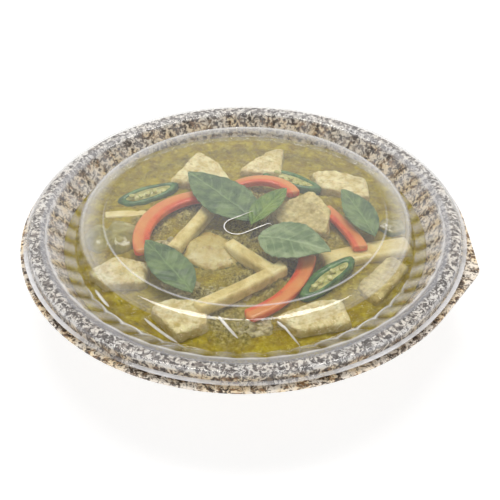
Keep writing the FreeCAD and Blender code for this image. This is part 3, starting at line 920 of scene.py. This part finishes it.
def make_leaf(node, length, width, turn, seed, material, curl, fold):
    """Basil leaf: pointed oval, folded a little along the midrib, puckered between side veins."""
    rows, half = 81, 20
    columns = 2 * half + 1
    top, weights = [], []
    for i in range(rows):
        u = i / (rows - 1)
        spread = width / 2 * (math.sin(math.pi * u ** 0.86) ** 0.85) * (1 - 0.18 * u) if 0 < u < 1 else 0.0
        spread = max(spread, 0.25 if u < 1 else 0.02)
        for j in range(columns):
            v = (j - half) / half
            serrate = 1 + 0.018 * math.sin(u * 60) * (abs(v) > 0.95)
            x = (u - 0.5) * length - 0.10 * length * abs(v) * spread / width * 0.3
            y = v * spread * serrate + 1.5 * math.sin(math.pi * u + seed) * 0.6
            phase = (u * 7.5 - abs(v) * 1.7 + 0.35 * math.sin(2.3 * u + seed) + 0.3 * (v > 0)) % 1.0
            side_vein = math.exp(-((min(phase, 1 - phase)) / 0.06) ** 2) * (1 - 0.5 * abs(v))
            midrib = math.exp(-((v * spread) / 0.45) ** 2)
            pucker = 0.55 * math.cos(2 * math.pi * phase) * abs(v) * (1 - abs(v) ** 3)
            z = -pucker * 0.45 - midrib * 0.4 + fold * 1.6 * abs(v) * spread / (width / 2)
            z += curl * (-2.2 * (2 * u - 1) ** 2 - 1.5 * (v * spread / (width / 2)) ** 2)
            z += 0.5 * fractal(x, y, 0, 8, 2, seed)
            top.append((x, y, z))
            weights.append(min(1.0, midrib + 0.75 * side_vein))
    count = len(top)
    bottom = [(x, y, z - LEAF_THICKNESS) for x, y, z in top]
    faces = grid_faces(rows, columns, wrap=False, flip=True)
    faces += grid_faces(rows, columns, wrap=False, first=count)
    border = list(range(columns)) + [i * columns + columns - 1 for i in range(1, rows)]
    border += [(rows - 1) * columns + j for j in range(columns - 2, -1, -1)]
    border += [i * columns for i in range(rows - 2, 0, -1)]
    for a, b in zip(border, border[1:] + border[:1]):
        faces.append((b, a, a + count, b + count))
    piece = make_piece(node, top + bottom, turn, faces, material, 2.0, "_leaf")
    set_weight(piece, "vein", weights + weights)


def make_eggplant(node, outline, turn, seed, skin, flesh, slope=0.0):
    """Cut piece of round green eggplant: flesh on the cut face, and skin round its side and underneath."""
    points, faces, _ = chunk(outline, EGGPLANT_HEIGHT, 1.3, seed, amount=0.4, fine=0.12, dome=0.9, window=3)
    points[:, 2] += slope * points[:, 1] * (points[:, 2] > -4)
    piece = make_piece(node, points, turn, faces, skin, 0.5)
    piece.data.materials.append(flesh)
    for face in piece.data.polygons:
        if sum(points[v][2] - slope * points[v][1] for v in face.vertices) / len(face.vertices) > -0.7:
            face.material_index = 1


def make_eggplant_half(node, length, width, turn, seed, skin):
    """Half of a round green eggplant, skin up, with a crease along it that parts it in two lobes."""
    rows, columns = 40, 72
    points = []
    for i in range(rows):
        t = math.pi * (i + 0.02) / (rows - 0.96)
        for a in circle(columns):
            r = math.sin(t) ** 0.85
            x, y = length / 2 * r * math.cos(a), width / 2 * r * math.sin(a)
            crease = math.exp(-((y + 2.5) / 2.0) ** 2)
            x *= 1 - 0.2 * crease
            z = 7.0 * math.cos(t) * (0.8 if t < math.pi / 2 else 1.0) - 2.6 * crease * (t < math.pi / 2)
            points.append((x, y, z + 0.4 * fractal(x, y, z, 8, 3, seed)))
    make_piece(node, points, turn, bar_faces(rows, columns, flip=True), skin, 0.5)


def make_mince(node, length, width, turn, seed, material):
    """Clump of mince: many small crumbs grown together by a voxel remesh."""
    rng = random.Random(seed)
    core, core_faces = rounded_block(length * 0.8, width * 0.8, CLUMP_CORE_HEIGHT, 1.8, 8)
    blocks = []
    for _ in range(CRUMBS_PER_CLUMP):
        a, r = rng.uniform(0, 2 * math.pi), math.sqrt(rng.random())
        size = rng.uniform(2.4, 4.2)
        crumb, crumb_faces = rounded_block(size, size * 0.85, size * 0.8, size * 0.36, 4)
        x, y = length / 2 * 0.82 * r * math.cos(a), width / 2 * 0.82 * r * math.sin(a)
        z = -r * r * 1.8 + rng.uniform(-1.2, 0.8)
        blocks.append((turned(crumb, rng.uniform(0, 90)) + (x, y, z), crumb_faces))
    blocks.append((core - (0, 0, 2.6), core_faces))
    points, faces = [], []
    for block, block_faces in blocks:
        faces += [[k + len(points) for k in f] for f in block_faces]
        points += block.tolist()
    piece = mesh_object(node + "_clump", turned(points, turn), faces, material)
    remesh = piece.modifiers.new("grow", "REMESH")
    remesh.mode = "VOXEL"
    remesh.voxel_size = 0.45 * MM
    remesh.use_smooth_shade = True
    smooth = piece.modifiers.new("soften", "SMOOTH")
    smooth.iterations = 2
    apply_modifiers(piece)
    piece.data.materials.clear()
    piece.data.materials.append(material)
    put_on_node(piece, node)


def make_food():
    """Every piece of food, each in place of its CAD node."""
    tofu = tofu_material("tofu", (0.93, 0.83, 0.46), (0.64, 0.49, 0.14))
    soaked = tofu_material("soaked_tofu", (0.78, 0.66, 0.28), (0.40, 0.30, 0.06))
    for k, (node, outline, turn, slope) in enumerate([
        ("tofu_back_left", [(-17, -10), (16, -12), (8, 5), (-3, 14)], 17, 0.1),
        ("tofu_back", [(-12, -8), (10, -10), (12, 10), (4, 8)], 17, 0.1),
        ("tofu_back_right", [(-15, 6), (-9, -6), (16, -10), (13, 6), (-4, 10)], 5, 0.0),
        ("tofu_middle", [(-15, 2), (-8, -11), (12, -12), (14, 2), (6, 14)], 17, 0.22),
        ("tofu_front_left", [(-14, -2), (-4, -10), (13, -7), (12, 6), (-3, 10)], 12, 0.0),
        ("tofu_front", [(-12, 4), (0, -12), (12, -6), (12, 9), (-6, 10)], 17, 0.0),
        ("tofu_front_right", [(-16, 1), (-8, -9), (15, -7), (14, 7), (4, 9)], 25, 0.0),
        ("tofu_right", [(-16, -6), (14, -7), (17, 4), (-10, 7)], 74, 0.0),
    ]):
        material = soaked if node in ("tofu_middle", "tofu_right") else tofu
        make_tofu(node, outline, turn, 1.7 * k + 0.4, material, slope)

    bamboo = flesh_material("bamboo", [
        (0.35, (0.62, 0.48, 0.13)), (0.5, (0.82, 0.68, 0.27)), (0.7, (0.91, 0.81, 0.42)),
    ], 8.0, 1.0, depth=0.1)
    for k, (node, length, width, height, turn, lift) in enumerate([
        ("bamboo_right", 42, 11, 6, 33, -0.6), ("bamboo_left", 22, 5.5, 5, 25, -2.2),
        ("bamboo_middle", 37, 6.5, 6.5, 83, 0.0), ("bamboo_front", 47, 6.6, 6, 53, 0.0),
        ("bamboo_low", 30, 6.6, 6, -31, 0.0),
    ]):
        make_stick(node, length, width, height, turn, 1.1 * k, bamboo, lift)

    red = flesh_material("red_chili", [
        (0.35, (0.66, 0.06, 0.008)), (0.5, (0.78, 0.12, 0.012)), (0.7, (0.84, 0.22, 0.03)),
    ], 9.0, 2.5, roughness=0.3, coat=0.3, depth=0.05, pale=(0.76, 0.33, 0.075))
    for k, (node, radius, sweep, width, turn) in enumerate([
        ("red_chili_left", 34, 104, 8, 164), ("red_chili_back", 18, 108, 6.2, 88),
        ("red_chili_right", 68, 30, 7, 40), ("red_chili_front", 46, 64, 8, -17),
    ]):
        make_red_strip(node, radius, sweep, width, turn, 1.3 * k, red)

    green = flesh_material("green_chili", [
        (0.35, (0.030, 0.10, 0.020)), (0.5, (0.060, 0.17, 0.035)), (0.7, (0.14, 0.28, 0.06)),
    ], 5.0, 1.5, roughness=0.25, coat=0.3, depth=0.05)
    pith = flesh_material("chili_pith", [
        (0.35, (0.40, 0.41, 0.09)), (0.5, (0.58, 0.57, 0.19)), (0.7, (0.80, 0.76, 0.38)),
    ], 3.0, 0.8, depth=0.12)
    for k, (node, length, width, turn, shift) in enumerate([
        ("green_chili_left", 30, 11, 40, 0.0), ("green_chili_back", 33, 11, -17, 0.0),
        ("green_chili_right", 34, 11, 63, -2.0),
    ]):
        make_green_slice(node, length, width, turn, k + 1, green, pith, shift)

    skin = flesh_material("eggplant_skin", [
        (0.35, (0.13, 0.19, 0.05)), (0.5, (0.24, 0.29, 0.10)), (0.7, (0.42, 0.45, 0.20)),
    ], 9.0, 1.5, roughness=0.22, coat=0.5, depth=0.05)
    pale_skin = flesh_material("eggplant_pale_skin", [
        (0.35, (0.20, 0.17, 0.02)), (0.5, (0.34, 0.30, 0.06)), (0.7, (0.56, 0.51, 0.20)),
    ], 9.0, 1.5, roughness=0.18, coat=0.6, depth=0.05)
    flesh = flesh_material("eggplant_flesh", [
        (0.35, (0.40, 0.26, 0.02)), (0.47, (0.56, 0.43, 0.10)), (0.58, (0.64, 0.54, 0.19)),
        (0.75, (0.74, 0.66, 0.32)),
    ], 7.0, 1.5, depth=0.5)
    make_eggplant_half("eggplant_left", 26, 28, -66, 0.5, pale_skin)
    middle = [(-13, 4), (-14, -6), (-2, -13), (10, -9), (14, -1), (3, 8), (-4, 12)]
    make_eggplant("eggplant_middle", middle, 17, 2.3, skin, flesh, slope=0.16)
    make_eggplant("eggplant_right", [(-7, 0), (0, -6), (7, -3), (6, 5), (-3, 5)], 15, 4.6, skin, pale_skin)

    mince = flesh_material("mince", [
        (0.35, (0.21, 0.165, 0.05)), (0.5, (0.42, 0.36, 0.15)), (0.68, (0.68, 0.61, 0.34)),
    ], 2.2, 0.8, roughness=0.45, depth=0.25)
    for k, (node, length, width, turn) in enumerate([
        ("mince_left", 20, 14, 20), ("mince_right", 19, 15, 70), ("mince_front", 24, 16, 10),
        ("mince_front_right", 20, 14, 30), ("mince_low", 21, 15, -20),
    ]):
        make_mince(node, length, width, turn, 30 + k, mince)

    sage = leaf_material("basil_sage", (0.040, 0.10, 0.020), (0.16, 0.25, 0.075))
    light = leaf_material("basil_light", (0.10, 0.18, 0.050), (0.28, 0.37, 0.17))
    bright = leaf_material("basil_bright", (0.075, 0.17, 0.008), (0.19, 0.29, 0.030))
    for k, (node, length, width, turn, material, curl, fold) in enumerate([
        ("basil_left", 52, 27, 147, sage, 0.8, 0.7), ("basil_middle", 33, 13, 79, bright, 0.5, 1.4),
        ("basil_right", 34, 29, -4, light, 0.8, 0.7), ("basil_front", 42, 19, 138, sage, 0.7, 0.8),
        ("basil_side", 38, 16, 129, sage, 0.7, 0.8),
    ]):
        make_leaf(node, length, width, turn, 1.9 * k, material, curl, fold)


# ---- stage


def make_camera():
    """Camera that looks down at the bowl from its front."""
    azimuth, elevation = math.radians(CAMERA_AZIMUTH), math.radians(CAMERA_ELEVATION)
    turn = Matrix.Rotation(azimuth, 4, "Z") @ Matrix.Rotation(math.pi / 2 - elevation, 4, "X")
    data = bpy.data.cameras.new("camera")
    data.lens = CAMERA_LENS
    data.sensor_width = CAMERA_SENSOR
    data.clip_start = 0.01
    camera = bpy.data.objects.new("camera", data)
    bpy.context.scene.collection.objects.link(camera)
    place = Vector((0, 0, AIM_HEIGHT)) + turn.to_3x3() @ Vector((AIM_RIGHT, AIM_UP, CAMERA_DISTANCE))
    camera.matrix_world = Matrix.Translation(place * MM) @ turn
    bpy.context.scene.camera = camera


def make_softbox(name, azimuth, power):
    """Soft lamp that looks at the bowl; azimuth 0 is behind the bowl seen from the camera."""
    a, e = math.radians(azimuth + CAMERA_AZIMUTH), math.radians(SOFTBOX_ELEVATION)
    place = Vector((-math.sin(a) * math.cos(e), math.cos(a) * math.cos(e), math.sin(e))) * SOFTBOX_DISTANCE
    data = bpy.data.lights.new(name, "AREA")
    data.shape = "RECTANGLE"
    data.size, data.size_y = SOFTBOX_SIZE
    data.energy = power
    data.color = SOFTBOX_COLOUR
    lamp = bpy.data.objects.new(name, data)
    lamp.location = place + Vector((0, 0, 0.03))
    lamp.rotation_euler = (-place).to_track_quat("-Z", "Y").to_euler()
    lamp.visible_camera = False
    bpy.context.scene.collection.objects.link(lamp)


def make_stage():
    """Pale floor, studio sky and two softboxes."""
    corners = [(x * FLOOR_REACH, y * FLOOR_REACH, 0) for x, y in ((-1, -1), (1, -1), (1, 1), (-1, 1))]
    mesh_object("floor", corners, [(0, 1, 2, 3)], floor_material())
    world = bpy.data.worlds.new("studio")
    bpy.context.scene.world = world
    world.use_nodes = True
    nodes, link = world.node_tree.nodes, world.node_tree.links.new
    background = nodes["Background"]
    sky = nodes.new("ShaderNodeTexCoord")
    split = nodes.new("ShaderNodeSeparateXYZ")
    fade = nodes.new("ShaderNodeValToRGB")
    set_stops(fade, [(height, (0.99 * glow, 0.99 * glow, glow)) for height, glow in SKY])
    link(sky.outputs["Generated"], split.inputs[0])
    link(split.outputs["Z"], fade.inputs[0])
    link(fade.outputs[0], background.inputs["Color"])
    background.inputs["Strength"].default_value = SKY_STRENGTH
    make_softbox("left_softbox", SOFTBOX_AZIMUTH, LEFT_POWER)
    make_softbox("right_softbox", -SOFTBOX_AZIMUTH, RIGHT_POWER)
    bpy.context.scene.view_settings.view_transform = "Standard"
    bpy.context.scene.view_settings.look = "None"


def dress_cad():
    """Finishes for the CAD nodes that stay."""
    for name, material in (("bowl", stone_print()), ("vent_flap", clear_sheet("clear_flap", FLAP_HAZE))):
        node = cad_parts[name]
        node.data.materials.clear()
        node.data.materials.append(material)


make_camera()
make_stage()
dress_cad()
# Whitened plastic: the real whitened lip of the vent's slit, and the painted highlights of the strokes on the
# dome.
frosted_and_highlight = clear_sheet("frosted_edge_and_highlight", FROSTED_AND_HIGHLIGHT_HAZE, (0.97, 0.94, 0.88))
make_lid(clear_sheet("clear_lid", BASE_HAZE))
make_vent_lip(frosted_and_highlight)
make_highlight_strokes(frosted_and_highlight)
make_sauce(curry_material())
make_food()
